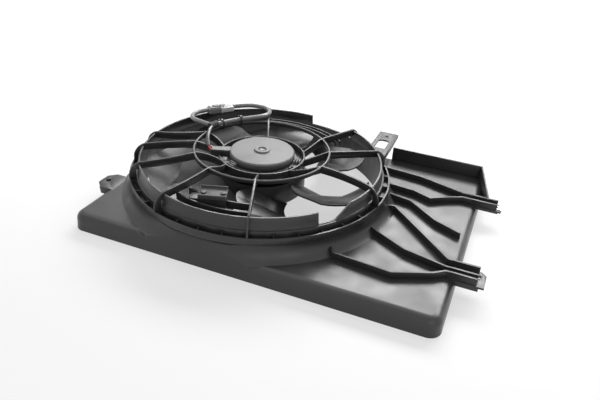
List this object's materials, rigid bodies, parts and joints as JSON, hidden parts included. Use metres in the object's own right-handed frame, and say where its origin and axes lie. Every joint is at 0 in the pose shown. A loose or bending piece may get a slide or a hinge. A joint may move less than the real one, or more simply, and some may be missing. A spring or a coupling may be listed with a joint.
{
  "type": "radiator fan shroud",
  "caption": "Moulded radiator shroud with a round fan tunnel, curved stator arms and an electric motor that turns the fan.",
  "frame": {"origin": "centre of the whole footprint, on the plane of the tray's rim that faces the radiator", "axes": "+Z from the radiator towards the engine along the fan's axis, +X along the tray's length away from the fan, +Y towards the side with the slotted bracket"},
  "size_m": [0.621, 0.478, 0.1081],
  "materials": {
    "shroud_plastic": "semi-gloss moulded glass-filled nylon, black",
    "fan_plastic": "moulded nylon, black, slightly glossier than the tray",
    "zinc_steel": "zinc plated",
    "motor_steel": "dark plated drawn steel",
    "cap_steel": "plated pressed steel, satin",
    "ground_steel": "ground",
    "core_steel": "stacked laminations",
    "copper_wire": "enamelled copper",
    "copper_segments": "turned copper",
    "sintered_bronze": "sintered, oiled",
    "ferrite": "ground ferrite",
    "carbon": "pressed carbon",
    "insulating_board": "phenolic board",
    "cast_aluminium": "as cast, bead blasted",
    "dark_connector": "moulded, dark grey",
    "grey_connector": "moulded, light grey",
    "lead_insulation": "smooth insulation",
    "loom_sleeve": "ribbed sleeve, black",
    "cloth_tape": "woven tape",
    "tie_nylon": "moulded nylon"
  },
  "bodies": {
    "shroud": {"shroud_panel": "shroud_plastic", "fan_tunnel_ring": "shroud_plastic", "stator_arms": "shroud_plastic", "wire_ring": "shroud_plastic", "motor_mount_ring": "shroud_plastic", "left_mounting_tab": "shroud_plastic", "front_right_tab": "shroud_plastic", "rear_right_tab": "shroud_plastic", "rear_bracket": "shroud_plastic", "rear_wall": "shroud_plastic", "plate_ribs": "shroud_plastic", "far_cradle_ribs": "shroud_plastic", "tab_clip_nut": "zinc_steel", "motor_case": "motor_steel", "motor_end_cap": "cap_steel", "field_magnets": "ferrite", "brush_holder": "insulating_board", "carbon_brushes": "carbon", "lower_bearing": "sintered_bronze", "upper_bearing": "sintered_bronze", "motor_screws": "zinc_steel", "motor_terminal_housing": "dark_connector", "motor_leads": "lead_insulation", "module_cradle": "shroud_plastic", "module_housing": "dark_connector", "module_heat_plate": "cast_aluminium", "module_screws": "zinc_steel", "module_plug": "dark_connector", "main_plug": "dark_connector", "main_socket": "grey_connector", "plug_latch": "dark_connector", "connector_holder": "shroud_plastic", "supply_lead": "loom_sleeve", "main_loom": "loom_sleeve", "loom_wrap": "cloth_tape", "cable_ties": "tie_nylon"},
    "fan": {"fan_hub": "fan_plastic", "fan_blades": "fan_plastic", "motor_shaft": "ground_steel", "armature_core": "core_steel", "armature_windings": "copper_wire", "commutator": "copper_segments", "fan_nut": "zinc_steel", "fan_washer": "zinc_steel"}
  },
  "joints": [
    {"name": "fan_spin", "type": "hinge", "parent": "shroud", "child": "fan", "pos_m": [-0.0715, -0.027, 0.05], "axis": [0, 0, 1], "continuous": true}
  ]
}
